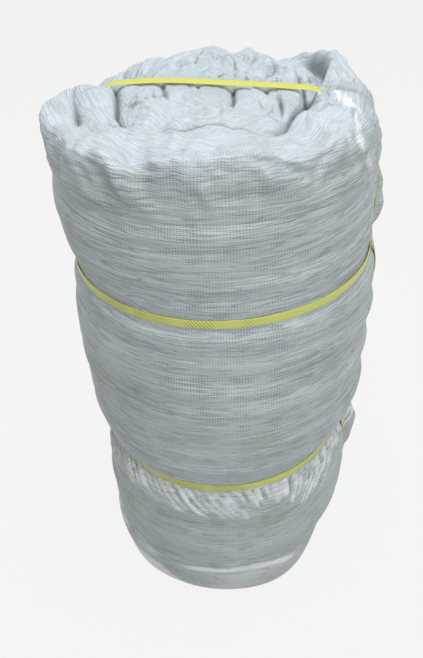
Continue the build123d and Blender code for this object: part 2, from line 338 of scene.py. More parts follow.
def randomWrinkles():
    # short bent lines, scattered over the top but for its smooth front, that lie anyhow across the turns
    rng = np.random.default_rng(wrinkleForm["seed"])
    found = []
    for _ in range(wrinkleForm["count"]):
        way = rng.uniform(*wrinkleForm["ways"])
        reach = wrinkleForm["reach"] * math.sqrt(rng.uniform(0.02, 1.0))
        x, y = reach * math.cos(way), reach * math.sin(way)
        turn, bend = way + rng.normal(*wrinkleForm["turn"]), rng.normal(*wrinkleForm["bend"])
        half = rng.uniform(*wrinkleForm["lengths"]) / 2
        start = (x - half * math.cos(turn - bend), y - half * math.sin(turn - bend), 0.0)
        end = (x + half * math.cos(turn + bend), y + half * math.sin(turn + bend), 0.0)
        depth, width = rng.uniform(*wrinkleForm["depths"]), rng.uniform(*wrinkleForm["widths"])
        found.append(((start, (x, y, 1.0), end), depth, width))
    return found


wrinkles = randomWrinkles()


def topHeight(x, y):
    # a dome between the rim's height and the crown, with the facets of crumpled cloth, the bed of the strap
    # and the lip at the near left, less the creases of the turns as cusps, plus the wall of the ear
    theta, reach = np.arctan2(y, x), np.hypot(x, y)
    rim = roundCurve(topForm["rimWays"], topForm["rimHeights"], theta)
    share = np.clip(reach / topForm["domeReach"], 0.0, 1.0) ** 2
    z = rim * share + topForm["crown"] * (1 - share)
    earWay = np.clip(np.degrees(theta), topForm["earWays"][0], topForm["earWays"][-1])
    ear = curveThrough(topForm["earWays"], topForm["earRises"], earWay)
    gap, side, _ = toLine(x, y, topForm["earEdge"])
    outside = -side * gap  # positive on the outer side of the ear's edge
    sag = topForm["sag"] * ease(*topForm["sagReach"], reach)
    z = z - sag * around(theta, topForm["sagWay"], topForm["sagSpread"])  # the outer turn lies lower there
    rough = ease(-0.06, 0.10, y)  # more crumpled at the back, calmer at the rim and under the strap
    crumple = sum(
        (rise + extra * rough) * facetNoise(seed, x, y, wave) for seed, wave, rise, extra in crumpleForm
    )
    z = z + crumple * (1 - 0.35 * ease(0.17, 0.22, reach)) * (1 - 0.6 * bell(y, 0.0, 0.05))
    strapZ = curveThrough(strapTop["x"], strapTop["z"], np.clip(x, -strapTop["end"], strapTop["end"]))
    inner = 1 - ease(*strapTop["inner"], np.abs(x))
    z = z + inner * bell(y, 0.004, 0.045) * (strapZ - strapTop["bed"] - z)
    lip = topForm["lipHeight"] - topForm["lipFall"] * np.maximum(topForm["lipEdge"] - x, 0)
    z = z + topForm["lipShare"] * bell(x, -0.200, 0.058) * bell(y, -0.032, 0.028) * (lip - z)
    knoll = topForm["knoll"] * around(theta, topForm["knollWay"], topForm["knollSpread"])
    z = z + knoll * ease(*topForm["knollReach"], reach)
    # mark is painted shade: along the creases and wrinkles and on the ear's inner wall
    mark = np.zeros(z.shape)
    for width, depth, lift, line in topCreases:
        gap, side, strength = toLine(x, y, line)
        cusp = 0.55 * np.exp(-gap / (1.6 * width)) + 0.75 * np.exp(-gap / (0.4 * width))
        z = z - depth * strength * cusp
        raised = lift * strength * side * np.exp(-gap / (2.5 * width))
        z = z + raised * (1 - np.exp(-gap / (0.25 * width)))
        mark = np.maximum(mark, strength * np.exp(-((gap / (0.45 * width)) ** 2)))
    for line, depth, width in wrinkles:
        gap, side, strength = toLine(x, y, line)
        z = z - depth * strength * (np.exp(-gap / width) - 0.4 * np.exp(-gap / (3 * width)) * (1 + side))
        mark = np.maximum(mark, 0.75 * strength * np.exp(-((gap / (0.5 * width)) ** 2)))
    wall = ease(*topForm["earWall"], outside)
    inside = bell(outside, -0.013, 0.009) * ease(0.006, 0.022, ear)
    z = z + ear * wall - topForm["earGroove"] * inside
    # painted shade on the inner wall of the ear
    mark = np.maximum(mark, 0.8 * ease(0.008, 0.022, ear) * bell(outside, -0.005, 0.005))
    under = inner * (1 - ease(0.008, 0.020, np.abs(y)))
    z = z + under * (np.minimum(z, strapZ - strapTop["gap"] + strapTop["tilt"] * np.minimum(y, 0)) - z)
    return z, mark


# how far the lengthwise strap sinks into the quilt's side, by height, on the right and on the left
furrowForm = {
    "heights": (0.00, 0.06, 0.20, 0.31, 0.35, 0.385, 0.42, 0.55, 0.63, 0.66, 0.70, 0.74, 0.79, 0.82, 0.85,
        0.875, 0.90, 0.95),
    "right": (0.003, 0.006, 0.010, 0.008, 0.001, -0.002, 0.006, 0.010, 0.006, -0.001, -0.001, 0.007, 0.003,
        -0.001, 0.000, 0.010, 0.014, 0.016),
    "left": (0.003, 0.006, 0.010, 0.008, 0.008, 0.010, 0.010, 0.010, 0.008, 0.006, 0.006, 0.008, 0.010,
        0.012, 0.012, 0.014, 0.018, 0.022),
    "floor": 0.0095, "mouth": 0.030, "rimClose": 0.010, "closeFrom": (0.86, 0.93),
    "bendIn": 0.012, "bendHeight": 0.920,  # of the strap's fall over the rim
    "fall": 0.15, "fallEnd": 0.172, "fallRun": 0.05, "fallGap": 0.0012,
}


def furrowShare(theta, radius, way, z):
    # 1 across the floor under the strap, easing to 0 at the mouth, narrower at the rim
    mouth = furrowForm["mouth"] - furrowForm["rimClose"] * ease(*furrowForm["closeFrom"], z)
    return 1 - ease(furrowForm["floor"], mouth, np.abs(turnFrom(theta, way)) * radius)


def furrowSeat(way, label, z):  # radius of the furrow's floor on the side
    return sideRadius(way + 0 * z, z) - curveThrough(furrowForm["heights"], furrowForm[label], z)


def rimSeat(way, label, t):
    # bend of three points from the side's furrow at the shoulder to the strap's fall on the top
    start = np.array([furrowSeat(way, label, np.array([topForm["shoulder"]]))[0], topForm["shoulder"]])
    sign = 1 if label == "right" else -1
    fallEnd = curveThrough(strapTop["x"], strapTop["z"], np.array([strapTop["end"] * sign]))[0]
    end = np.array([strapTop["end"], fallEnd])
    middle = np.array([start[0] - furrowForm["bendIn"], furrowForm["bendHeight"]])
    t = np.asarray(t, float)[:, None]
    return start * (1 - t) ** 2 + middle * 2 * t * (1 - t) + end * t * t


def hoopPinch(z, place, depth, below, above):
    # flat under the strap, easing out to the swell below and above
    away = z - place
    seat = strapSet["seat"]
    return depth * (1 - ease(seat, above, away)) * (1 - ease(seat, below, -away))


# depth of the pinch under each hoop, and how far below and above it eases out
hoopForm = {"middle": (0.005, 0.030, 0.026), "lower": (0.009, 0.034, 0.040), "points": 420}
furrows = ((0.0, "right"), (math.pi, "left"))


def seatShare(z):  # 0 under a hoop, easing to 1 just past its edges
    edge = strapSet["seat"], strapSet["seatEdge"]
    return ease(*edge, np.abs(z - strapSet["lower"])) * ease(*edge, np.abs(z - strapSet["middle"]))


crinkleForm = {
    "lineWave": 0.014, "lineLength": 0.50, "lineDepth": 0.0013, "lineWidth": 0.38,
    "foldWave": 0.055, "foldLength": 0.60, "foldDepth": 0.0015, "patchWaves": (0.16, 0.30),
}


def crinkles(seed, shape, size):
    # fine valleys that run level round the quilt where a long-grained noise crosses zero, on slow folds
    fine = bandNoise(seed, shape, size, (crinkleForm["lineWave"], crinkleForm["lineLength"]))
    coarse = bandNoise(seed + 1, shape, size, (crinkleForm["foldWave"], crinkleForm["foldLength"]))
    patch = ease(-1.2, 1.0, bandNoise(seed + 2, shape, size, crinkleForm["patchWaves"]))
    line = np.exp(-((fine / crinkleForm["lineWidth"]) ** 2)) * (0.35 + 0.65 * patch)
    return crinkleForm["foldDepth"] * coarse - crinkleForm["lineDepth"] * line, line


rimForm = {
    "ways": (-180, -150, -139, -131, -122, -113, -102, -87, -75, -64, -55, -42, -32, -20, 0, 40, 80, 120,
        150),
    "bends": (1.0, 1.0, 1.2, 0.9, 1.1, 0.85, 0.95, 0.9, 0.85, 0.95, 0.9, 0.85, 0.9, 1.0, 1.0, 1.2, 0.9, 1.2,
        1.0),
}
# fold on the right from the strap's end over the rim, as points with a strength each: x, y, z, strength
rightFold = {
    "line": (
        (0.166, -0.006, 0.970, 0.5), (0.183, -0.033, 0.973, 1.0), (0.205, -0.055, 0.965, 1.0),
        (0.212, -0.088, 0.960, 1.0), (0.216, -0.115, 0.953, 1.0), (0.227, -0.131, 0.929, 0.9),
        (0.238, -0.120, 0.903, 0.7), (0.246, -0.090, 0.860, 0.4), (0.250, -0.079, 0.830, 0.0),
    ),
    "width": 0.006, "depth": 0.005, "lift": 0.003,
}


def toFold(points, line):
    # distance in space from a bent line, its side as seen from outside, and the strength nearest by
    near = np.full(points.shape[:2], 9.0)
    side, strength = np.zeros(near.shape), np.zeros(near.shape)
    line = np.asarray(line, float)
    for start, end in zip(line[:-1], line[1:]):
        ahead = end[:3] - start[:3]
        t = np.clip(((points - start[:3]) @ ahead) / (ahead @ ahead), 0.0, 1.0)
        gap = points - start[:3] - t[..., None] * ahead
        far = np.linalg.norm(gap, axis=-1)
        closer = far < near
        near = np.where(closer, far, near)
        outward = np.array([start[0], start[1], 0.15])
        side = np.where(closer, np.sign(np.cross(ahead, gap) @ outward), side)
        strength = np.where(closer, start[3] + (end[3] - start[3]) * t, strength)
    return near, side, strength


girth = 1.62  # of the cloth's pattern round the roll
endShare = 0.4  # of the radius, where the hidden end of a piece turns in
poleShare = 0.012  # of the radius, at the smallest ring round a pole
upperGrid = {"round": 384, "side": 92, "rim": 50, "top": 112, "run": 0.52, "start": 0.9}
cols = upperGrid["round"]
theta = np.linspace(0.0, math.tau, cols, endpoint=False)[None, :]
sideZ = np.linspace(strapSet["middle"], topForm["shoulder"], upperGrid["side"], endpoint=False)
sideZ = sideZ[:, None] + 0 * theta
sideR = sideRadius(theta, sideZ) - hoopPinch(sideZ, strapSet["middle"], *hoopForm["middle"])
shoulderR = sideRadius(theta, topForm["shoulder"] + 0 * theta)
crestR = roundCurve(topForm["crestWays"], topForm["crestRadii"], theta)
crestZ, _ = topHeight(crestR * np.cos(theta), crestR * np.sin(theta))
swing = np.linspace(0.0, math.pi / 2, upperGrid["rim"], endpoint=False)[:, None]
# under 1 for a square rim, over 1 for a bevelled one
bend = roundCurve(rimForm["ways"], rimForm["bends"], theta)
rimZ = topForm["shoulder"] + (crestZ - topForm["shoulder"]) * np.sin(swing) ** bend
flare = sideRadius(theta, rimZ) - shoulderR
rimR = crestR + (shoulderR - crestR) * np.cos(swing) ** bend + flare * np.cos(swing) ** 0.5
topR = crestR * np.linspace(1.0, poleShare, upperGrid["top"])[:, None]
topZ, topMark = topHeight(topR * np.cos(theta), topR * np.sin(theta))
radius = np.concatenate([endShare * sideR[:1], sideR, rimR, topR])
height = np.concatenate([sideZ[:1], sideZ, rimZ, topZ])
rows = len(radius)
outR, outZ = np.gradient(height, axis=0), -np.gradient(radius, axis=0)  # outward, square to the row path
length = np.maximum(np.hypot(outR, outZ), 1e-9)
outR, outZ = outR / length, outZ / length
level = np.arange(rows)[:, None] + 0 * theta
onSide = 1 - ease(upperGrid["side"] + 20, upperGrid["side"] + upperGrid["rim"], level)
onRim = ease(upperGrid["side"] - 2, upperGrid["side"] + 16, level)
onRim = onRim * (1 - ease(rows - upperGrid["top"], rows - 80, level))
size = (upperGrid["run"], girth)
crinkle, line = crinkles(11, (rows, cols), size)
frontRim = around(theta, -88.0, 0.85)
rimX, rimY = theta * 0.25, level * 0.0018  # metres round the rim and over it
rimFacets = (0.0024 + 0.0012 * frontRim) * facetNoise(21, rimX, rimY, 0.11)
rimFacets = rimFacets + (0.0010 + 0.0010 * frontRim) * facetNoise(22, rimX, rimY, 0.042)
push = crinkle * (0.1 + 0.9 * onSide) + rimFacets * onRim
push = push * ease(0.0, 6.0, level - 1)
rowR, rowZ = radius.copy(), height.copy()
rowPoints = np.stack([radius * np.cos(theta), radius * np.sin(theta), height], -1)
gap, side, strength = toFold(rowPoints, rightFold["line"])
width = rightFold["width"]
push = push - rightFold["depth"] * strength * np.exp(-gap / width)
raised = rightFold["lift"] * strength * side * np.exp(-gap / (2.5 * width))
push = push + raised * (1 - np.exp(-gap / (0.3 * width)))
# painted highlight along the far side of the right fold, broken up by noise
broken = ease(-0.6, 0.3, bandNoise(23, (rows, cols), size, (0.035, 0.035)))
foldPaintedHighlight = 1.4 * strength * (side > 0) * bell(gap, 1.3 * width, 1.1 * width) * broken
radius, height = radius + push * outR, height + push * outZ
for way, label in furrows:
    corner = rimSeat(way, label, np.linspace(0, 1, upperGrid["rim"], endpoint=False))
    column = 0 if label == "right" else cols // 2
    onTop = topR[:, column]
    fall = furrowForm["fall"]
    inner = np.where(onTop > fall, fall + (onTop - fall) * furrowForm["fallRun"] / (onTop[0] - fall), onTop)
    seatZ = curveThrough(strapTop["x"], strapTop["z"], inner * (1 if label == "right" else -1))
    seatZ = seatZ - furrowForm["fallGap"]
    seatR = furrowSeat(way, label, sideZ[:, column])
    floorR = np.concatenate([rowR[:1, column], seatR, corner[:, 0], inner])
    floorZ = np.concatenate([sideZ[:1, column], sideZ[:, column], corner[:, 1], seatZ])
    onFall = ease(fall, furrowForm["fallEnd"], onTop)
    opened = np.concatenate([np.zeros(1), np.ones(upperGrid["side"] + upperGrid["rim"]), onFall])
    share = furrowShare(theta, rowR, way, rowZ) * opened[:, None]
    radius = radius + share * (floorR[:, None] - radius)
    height = height + share * (floorZ[:, None] - height)
climb = np.diff(rowZ, axis=0)
climb[-upperGrid["top"]:] = 0  # the weave on the top is laid out flat, so that its creases leave it straight
steps = np.hypot(np.diff(rowR, axis=0), climb)
along = smoothRound(np.cumsum(np.concatenate([upperGrid["start"] + np.zeros((1, cols)), steps]), 0), 20)
# marks for the material: crinkle and crease place painted shade, top places the painted light of the top,
# and the last mark places painted highlight
marks = {
    "crinkle": line * onSide,
    "crease": np.concatenate([np.zeros((rows - upperGrid["top"], cols)), topMark]),
    "top": 1 - onSide,
    "paintedHighlight": np.clip(foldPaintedHighlight, 0, 1),
}
upperPoints = np.stack([radius * np.cos(theta), radius * np.sin(theta), height], -1)
upperPiece = roundSurface("quiltUpper", upperPoints, marks, along, girth)
print("upper quilt", len(upperPiece.data.polygons))

middleGrid = {"round": 384, "side": 150, "run": 0.39, "start": 0.3}
cols = middleGrid["round"]
theta = np.linspace(0.0, math.tau, cols, endpoint=False)[None, :]
sideZ = np.linspace(strapSet["lower"], strapSet["middle"], middleGrid["side"])[:, None] + 0 * theta
sideR = sideRadius(theta, sideZ)
sideR = (
    sideR
    - hoopPinch(sideZ, strapSet["middle"], *hoopForm["middle"])
    - hoopPinch(sideZ, strapSet["lower"], *hoopForm["lower"])
)
crinkle, line = crinkles(31, sideZ.shape, (middleGrid["run"], girth))
loose = seatShare(sideZ)
push = crinkle * loose
for way, label in furrows:
    share = furrowShare(theta, sideR, way, sideZ)
    push = push * (1 - share) - share * curveThrough(furrowForm["heights"], furrowForm[label], sideZ)
radius = sideR + push
radius = np.concatenate([endShare * radius[:1], radius, endShare * radius[-1:]])
height = np.concatenate([sideZ[:1], sideZ, sideZ[-1:]])
along = middleGrid["start"] + height
ends = np.zeros((1, cols))
line = np.concatenate([ends, line * loose, ends])
marks = {"crinkle": line, "crease": 0 * radius, "top": 0 * radius, "paintedHighlight": 0 * radius}
middlePoints = np.stack([radius * np.cos(theta), radius * np.sin(theta), height], -1)
middlePiece = roundSurface("quiltMiddle", middlePoints, marks, along, girth)
print("middle quilt", len(middlePiece.data.polygons))

pleatForm = {
    "pitch": 0.021, "reach": 0.054, "depth": 0.0065,
    "ways": (-180.0, -130.0, -100.0, -78.0, -58.0, -38.0, -8.0, 90.0),
    "slants": (2.0, 1.8, 1.5, 1.1, -0.2, -1.5, -1.5, 1.0),
    "drift": 0.0035, "driftWave": 0.08, "rise": 0.68, "fall": 0.32,
    "rightWay": -42.0, "rightSpread": 0.5, "bendWave": 0.030, "bendReach": 0.085, "bendDepth": 0.0016,
}
# bright patch at the lower left of the foot, painted highlight only: its way, top height and fall of that
# top a degree
flapForm = {"way": -116.0, "top": 0.068, "fall": 0.0040}


def pleatNoise(seed, spot, wave):  # sum of waves of lengths near the one asked for, along a line
    return waveNoise(seed, spot, 0 * spot, wave, 24)


lowerGrid = {"round": 560, "base": 34, "foot": 30, "side": 110, "run": 0.53}
footForm = {"top": 0.030, "flat": 0.204, "seat": 0.0016, "seatEdge": 0.013}
cols = lowerGrid["round"]
theta = np.linspace(0.0, math.tau, cols, endpoint=False)[None, :]
footR = sideRadius(theta, footForm["top"] + 0 * theta)
flatR = footForm["flat"] + 0 * theta
baseR = flatR * np.linspace(poleShare, 1.0, lowerGrid["base"], endpoint=False)[:, None]
swing = np.linspace(0.0, math.pi / 2, lowerGrid["foot"], endpoint=False)[:, None]
roundR = flatR + (footR - flatR) * np.sin(swing)
roundZ = footForm["top"] * (1 - np.cos(swing)) + 0 * theta
sideZ = np.linspace(footForm["top"], strapSet["lower"], lowerGrid["side"])[:, None] + 0 * theta
sideR = sideRadius(theta, sideZ) - hoopPinch(sideZ, strapSet["lower"], *hoopForm["lower"])
radius = np.concatenate([baseR, roundR, sideR, endShare * sideR[-1:]])
height = np.concatenate([0 * baseR, roundZ, sideZ, sideZ[-1:]])
rows = len(radius)
outR, outZ = np.gradient(height, axis=0), -np.gradient(radius, axis=0)
length = np.maximum(np.hypot(outR, outZ), 1e-9)
outR, outZ = outR / length, outZ / length
level = np.arange(rows)[:, None] + 0 * theta
onSide = ease(lowerGrid["base"] + 12, lowerGrid["base"] + lowerGrid["foot"] + 6, level)
size = (lowerGrid["run"], girth)
crinkle, line = crinkles(35, (rows, cols), size)
below = np.maximum(strapSet["lower"] - strapSet["seat"] - height, 0)
slant = roundCurve(pleatForm["ways"], pleatForm["slants"], theta)  # sideways run of a pleat
spot = theta * girth / math.tau - slant * below
spot = spot + pleatForm["drift"] * pleatNoise(41, spot, pleatForm["driftWave"])
phase = (spot / pleatForm["pitch"]) % 1.0
rise, fall = pleatForm["rise"], pleatForm["fall"]
pleat = 2 * np.where(phase < rise, phase / rise, (1 - phase) / fall) - 1  # slow rise, quick fall
rightward = around(theta, pleatForm["rightWay"], pleatForm["rightSpread"])
reach = (
    pleatForm["reach"] * (0.80 + 0.40 * rightward)
    * (0.40 + 0.85 * ease(-1.3, 1.3, pleatNoise(45, spot, 0.055)))
)
left = np.clip(1 - below / reach, 0, 1) * ease(0.0, 0.006, below)
strong = 0.45 + 0.65 * ease(-0.8, 0.8, pleatNoise(44, spot, 0.075))
gather = left * strong
bend = facetNoise(46, theta * girth / math.tau, height, pleatForm["bendWave"]) * ease(0.0, 0.012, below)
bend = bend * np.clip(1 - below / pleatForm["bendReach"], 0, 1)
hem = hemHeight(theta)
frayed = ease(-0.9, 0.6, bandNoise(43, (rows, cols), size, (0.2, 0.16), 0.35))
# painted highlight along the hem's fold and a second faint line above it
ledge = bell(height, hem - 0.003, 0.0045) * frayed
second = ease(0.1, 0.7, bandNoise(47, (rows, cols), size, (0.12, 0.09), 0.35))
ledge = np.maximum(ledge, 0.55 * bell(height, hem + 0.011, 0.0035) * second)
# painted highlight patch at the lower left of the foot
away = np.degrees(turnFrom(theta, math.radians(flapForm["way"])))
flapTop = flapForm["top"] - flapForm["fall"] * np.maximum(away, 0)
flap = (1 - ease(-0.003, 0.002, height - flapTop)) * (1 - ease(10.0, 30.0, -away))
flap = flap * (1 - ease(15.0, 18.0, away))
push = 0.6 * crinkle + pleatForm["depth"] * pleat * gather + pleatForm["bendDepth"] * bend
push = push * onSide * seatShare(height)
furrow = 0 * radius
for way, label in furrows:
    share = furrowShare(theta, np.maximum(radius, 0.05), way, height) * onSide
    push = push * (1 - share)
    furrow = furrow + share * curveThrough(furrowForm["heights"], furrowForm[label], height)
rowR, rowZ = radius, height
radius, height = radius + (push - furrow) * outR, height + (push - furrow) * outZ
strapGap = 1 - ease(strapSet["seat"], footForm["seatEdge"], np.abs(radius * np.sin(theta)))
strapGap = strapGap * (1 - ease(lowerGrid["base"] + 4, lowerGrid["base"] + 16, level))
height = height + footForm["seat"] * strapGap
steps = np.hypot(np.diff(rowR, axis=0), np.diff(rowZ, axis=0))
along = np.cumsum(np.concatenate([np.zeros((1, cols)), steps]), 0)
# painted highlight on the rising flanks of the pleats and in a band just under the lower hoop
facets = ease(-0.35, 0.25, pleat + 0.5 * bend) * ease(0.02, 0.22, left)
facets = facets * (0.55 + 0.45 * ease(0.4, 0.9, strong))
edge = 0.85 * ease(0.0, 0.004, below) * (1 - ease(0.012, 0.026, below)) * ease(-0.9, 0.5, bend + pleat)
turned = turnFrom(theta, 0.0)
# painted highlight below the hem at the front left
skirt = 0.38 * (1 - ease(-0.004, 0.002, height - hem)) * ease(-1.75, -1.35, turned)
skirt = skirt * (1 - ease(-0.5, -0.2, turned))
# all of these summed into one mark of painted highlight
paintedHighlight = np.maximum(facets, edge) + 0.85 * ledge + 0.9 * flap + skirt * (0.4 + 0.6 * frayed)
# painted shade in the pleat valleys, carried in the crease mark
valley = 0.75 * ease(0.3, 0.95, -pleat) * ease(0.05, 0.4, left) * ease(0.5, 1.0, strong)
marks = {"crinkle": line * onSide, "crease": valley, "top": 1 - onSide, "paintedHighlight": np.clip(paintedHighlight, 0, 1)}
lowerPoints = np.stack([radius * np.cos(theta), radius * np.sin(theta), height], -1)
lowerPiece = roundSurface("quiltLower", lowerPoints, marks, along, girth)
print("lower quilt", len(lowerPiece.data.polygons))


def bandSurface(name, path, out, width, thickness, marks):
    # closed loop of points with a rounded flat section carried along it: width across, thickness outwards
    ahead = np.roll(path, -1, 0) - np.roll(path, 1, 0)
    ahead = ahead / np.linalg.norm(ahead, axis=1, keepdims=True)
    out = out - (out * ahead).sum(1, keepdims=True) * ahead
    out = out / np.linalg.norm(out, axis=1, keepdims=True)
    across = np.cross(out, ahead)
    spot = np.array([-0.5, -0.46, -0.25, 0.0, 0.25, 0.46, 0.5, 0.46, 0.25, 0.0, -0.25, -0.46])
    rise = np.array([0.5, 0.93, 1.0, 1.0, 1.0, 0.93, 0.5, 0.0, 0.0, 0.0, 0.0, 0.0])
    points = (
        path[:, None]
        + across[:, None] * (spot * width)[None, :, None]
        + out[:, None] * (rise * thickness)[None, :, None]
    )
    rows, cols = points.shape[:2]
    ring = np.arange(rows * cols).reshape(rows, cols)
    a, b = ring, np.roll(ring, -1, 0)
    quads = np.stack([a, b, np.roll(b, -1, 1), np.roll(a, -1, 1)], -1).reshape(-1, 4)
    run = np.concatenate(
        [[0.0], np.cumsum(np.linalg.norm(np.diff(np.concatenate([path, path[:1]]), axis=0), axis=1))]
    )
    u = np.repeat(np.stack([run[:-1], run[1:], run[1:], run[:-1]], -1), cols, 0)
    v = np.tile(np.stack([spot, spot, np.roll(spot, -1), np.roll(spot, -1)], -1), (rows, 1)) * width
    flat = {label: np.repeat(value, cols) for label, value in marks.items()}
    return putMesh(
        name, points.reshape(-1, 3), quads.ravel(), np.full(len(quads), 4), flat,
        np.stack([u.ravel(), v.ravel()], -1),
    )


def hoop(name, place, seatR, theta):
    # level loop at the radius of its seat plus the lift of a strap
    out = np.stack([np.cos(theta), np.sin(theta), 0 * theta], -1)
    path = out * (seatR + strapSet["lift"])[:, None]
    path[:, 2] = place
    turned = turnFrom(theta, 0.0)
    ribbed = ease(-2.3, -2.05, turned) * (1 - ease(-1.3, -1.1, turned))  # where its pressing shows
    marks = {"ribbed": ribbed, "paleHoop": 1 + 0 * ribbed}
    return bandSurface(name, path, out, strapSet["width"], strapSet["thickness"], marks)


turn = np.linspace(0.0, math.tau, hoopForm["points"], endpoint=False)
seatMiddle = sideRadius(turn, strapSet["middle"] + 0 * turn) - hoopForm["middle"][0]
seatLower = sideRadius(turn, strapSet["lower"] + 0 * turn) - hoopForm["lower"][0]
strapMiddle = hoop("strapMiddle", strapSet["middle"], seatMiddle, turn)
strapLower = hoop("strapLower", strapSet["lower"], seatLower, turn)

# lengthwise strap: over the top, down the right furrow, under the base and up the left furrow
loopForm = {"sideEnd": 0.045, "topEnd": 0.196, "rimEnd": 0.95, "baseEnd": 0.19, "baseHeight": 0.0014}
lift = strapSet["lift"]
sideRun = np.linspace(topForm["shoulder"], loopForm["sideEnd"], 90)
topRun = np.linspace(-loopForm["topEnd"], loopForm["topEnd"], 60)
rimRun = np.linspace(0.0, loopForm["rimEnd"], 14)
baseRun = np.linspace(loopForm["baseEnd"], -loopForm["baseEnd"], 30)
rightRim, leftRim = rimSeat(0.0, "right", rimRun)[::-1], rimSeat(math.pi, "left", rimRun)
rightR, leftR = furrowSeat(0.0, "right", sideRun) + lift, furrowSeat(math.pi, "left", sideRun) + lift
footTurn = swing[4::3, 0]  # the strap follows the rounded foot
footRun = lowerPoints[lowerGrid["base"] + 4:lowerGrid["base"] + lowerGrid["foot"]:3]
footX, footZ = 2 * lift * np.sin(footTurn), -2 * lift * np.cos(footTurn)
rightFootX, rightFootZ = (footRun[:, 0, 0] + footX)[::-1], (footRun[:, 0, 2] + footZ)[::-1]
leftFootX, leftFootZ = footRun[:, cols // 2, 0] - footX, footRun[:, cols // 2, 2] + footZ
loopX = np.concatenate([
    topRun, rightRim[:, 0] + lift, rightR, rightFootX,
    baseRun, leftFootX, -leftR[::-1], -leftRim[:, 0] - lift,
])
loopZ = np.concatenate([
    curveThrough(strapTop["x"], strapTop["z"], topRun), rightRim[:, 1] + lift, sideRun, rightFootZ,
    loopForm["baseHeight"] + 0 * baseRun, leftFootZ, sideRun[::-1], leftRim[:, 1] + lift,
])
for _ in range(4):  # ease the corners
    loopX = 0.5 * loopX + 0.25 * (np.roll(loopX, 1) + np.roll(loopX, -1))
    loopZ = 0.5 * loopZ + 0.25 * (np.roll(loopZ, 1) + np.roll(loopZ, -1))
loopZ = np.maximum(loopZ, loopForm["baseHeight"])
path = np.stack([loopX, 0 * loopX, loopZ], -1)
ahead = np.roll(path, -1, 0) - np.roll(path, 1, 0)
out = np.stack([-ahead[:, 2], 0 * loopX, ahead[:, 0]], -1)
out = out / np.linalg.norm(out, axis=1, keepdims=True)
out[:, 1] = -strapTop["tilt"] * ease(*strapTop["tiltFrom"], loopZ)  # turned a little to the front on the top
marks = {"ribbed": 0 * loopX, "paleHoop": 0 * loopX}
strapLength = bandSurface("strapLengthwise", path, out, strapSet["width"], strapSet["thickness"], marks)
print("straps made")

for piece in (upperPiece, middlePiece, lowerPiece):
    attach(piece, "root")
    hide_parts("roll")
for piece, node in (
    (strapMiddle, "strap_middle"), (strapLower, "strap_lower"), (strapLength, "strap_lengthwise"),
):
    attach(piece, "root")
    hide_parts(node)


def newMaterial(name, **sockets):
    # material with its shader's sockets set, and a function that adds nodes to it
    material = bpy.data.materials.new(name)
    material.use_nodes = True
    tree = material.node_tree
    shader = tree.nodes["Principled BSDF"]
    for label, value in sockets.items():
        shader.inputs[label].default_value = value

    def node(kind, *links, **values):
        # a node with its inputs linked or set in order, None to leave one alone
        made = tree.nodes.new("ShaderNode" + kind)
        for label, value in values.items():
            setattr(made, label, value)
        for socket, value in zip(made.inputs, links):
            if isinstance(value, bpy.types.NodeSocket):
                tree.links.new(value, socket)
            elif value is not None:
                socket.default_value = value
        return made

    return material, tree, shader, node


# quilt colours: base and pale are the cloth's own tones; dark serves the weave's own dark marks and painted
# shade, deep the darkest painted shade in creases; top is painted light for the sky-lit top; the near-white
# colour is painted highlight
quiltLook = {
    "base": (0.549, 0.603, 0.597, 1.0), "dark": (0.30, 0.33, 0.34, 1.0), "pale": (0.647, 0.714, 0.720, 1.0),
    "top": (0.670, 0.733, 0.785, 1.0), "deep": (0.10, 0.115, 0.13, 1.0), "paintedHighlight": (0.97, 0.99, 1.0, 1.0),
    "tape": 0.0042, "row": 0.0042,
}
quilt, tree, shader, node = newMaterial("wovenQuilt", Roughness=0.5)
cloth = node("UVMap", uv_map="cloth").outputs[0]
split = node("SeparateXYZ", cloth)
crinkleMark = node("Attribute", attribute_name="crinkle").outputs["Fac"]
creaseMark = node("Attribute", attribute_name="crease").outputs["Fac"]
topMarkNode = node("Attribute", attribute_name="top").outputs["Fac"]
# mark of painted highlight: where it is 1 the cloth is painted near white
paintedHighlightMark = node("Attribute", attribute_name="paintedHighlight").outputs["Fac"]


def maths(operation, *links, **values):  # one node of sums on its links
    return node("Math", *links, operation=operation, **values).outputs[0]


def rib(socket, pitch):  # 1 in the gap between two tapes, 0 on the tape
    wave = maths("SINE", maths("MULTIPLY", socket, math.pi / pitch))
    return maths("SUBTRACT", 1.0, maths("ABSOLUTE", wave))


def clothNoise(across, up, detail=2.0):  # noise on the cloth with so many cells a metre across and up
    spread = node("Mapping", cloth, None, None, (across, up, 1.0)).outputs[0]
    made = node("TexNoise", spread, noise_dimensions="2D")
    made.inputs["Scale"].default_value, made.inputs["Detail"].default_value = 1.0, detail
    return made.outputs[0]


tapeGap = rib(split.outputs[0], quiltLook["tape"])
rowGap = rib(split.outputs[1], quiltLook["row"])


def clothLines(across, up, width):
    # 1 along the lines where a long-grained noise crosses its middle, 0 beside them
    away = maths("ABSOLUTE", maths("SUBTRACT", clothNoise(across, up), 0.5))
    return node("MapRange", away, 0.0, width, 1.0, 0.0).outputs[0]


lines = clothLines(9.0, 135.0, 0.06)
# painted glints: thin bright dashes on the tapes
gleam = maths("MULTIPLY", clothLines(15.0, 165.0, 0.04), maths("SUBTRACT", 1.0, tapeGap))
patches = node("MapRange", clothNoise(6.0, 30.0), 0.32, 0.50, 0.60, 1.0).outputs[0]
lines = maths("MULTIPLY", lines, patches)
pitted = maths("MULTIPLY", lines, node("MapRange", tapeGap, 0.1, 0.75, 0.25, 1.0).outputs[0])
dots = maths("MULTIPLY", maths("POWER", tapeGap, 1.6), maths("POWER", rowGap, 1.6))
tone = node("MapRange", clothNoise(5.0, 8.0), 0.3, 0.7, 0.0, 1.0).outputs[0]
ground = node("MixRGB", tone, quiltLook["base"], quiltLook["pale"]).outputs[0]
